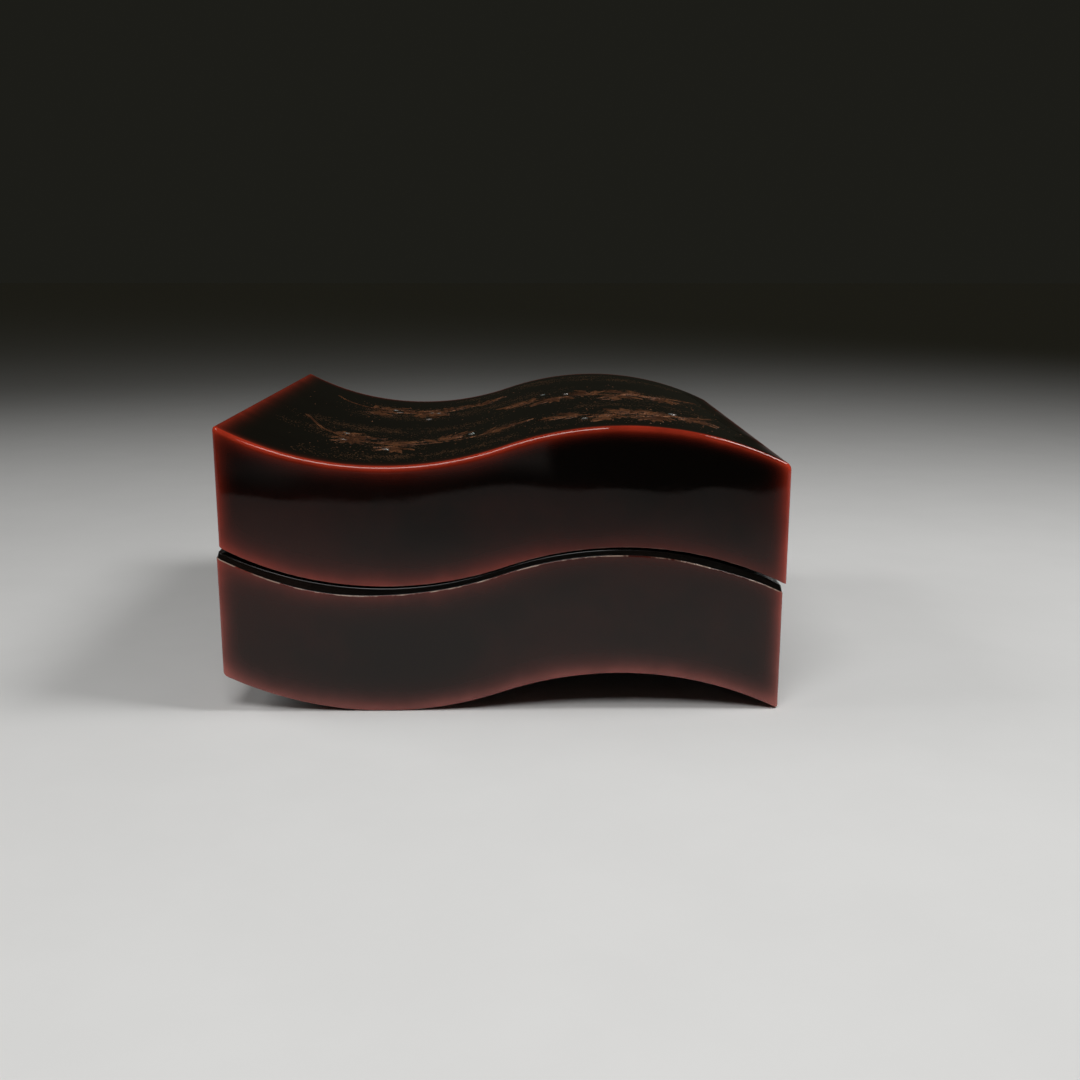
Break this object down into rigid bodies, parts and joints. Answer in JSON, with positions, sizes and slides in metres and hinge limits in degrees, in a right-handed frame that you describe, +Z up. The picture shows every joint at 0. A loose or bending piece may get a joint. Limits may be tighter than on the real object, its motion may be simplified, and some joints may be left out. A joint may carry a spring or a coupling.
{
  "type": "incense box",
  "caption": "Small lidded incense box of lacquered wood, square in plan, whose lid, base, top and underside all follow one wave. The lid lifts off over an inner lip.",
  "frame": {"origin": "the middle of the base's footprint, on the surface that the box stands on", "axes": "+X runs along the wave to the right as the picture shows it, +Y goes away from the viewer, +Z is up"},
  "size_m": [0.0724, 0.072, 0.0372],
  "materials": {
    "top_lacquer": "polished dark brown lacquer with low gold decoration",
    "amber_lacquer": "gloss clear amber lacquer over red, near black on the faces and red along the edges",
    "black_lacquer": "gloss black lacquer"
  },
  "bodies": {
    "base": {"base_bottom_board": "amber_lacquer", "base_front_wall": "amber_lacquer", "base_back_wall": "amber_lacquer", "base_left_wall": "amber_lacquer", "base_right_wall": "amber_lacquer", "lip_front": "black_lacquer", "lip_back": "black_lacquer", "lip_left": "black_lacquer", "lip_right": "black_lacquer"},
    "lid": {"lid_top_board": "top_lacquer", "lid_front_wall": "amber_lacquer", "lid_back_wall": "amber_lacquer", "lid_left_wall": "amber_lacquer", "lid_right_wall": "amber_lacquer"}
  },
  "joints": [
    {"name": "lid_lift", "type": "slide", "parent": "base", "child": "lid", "axis": [0, 0, 1], "range_m": [0, 0.06]}
  ]
}
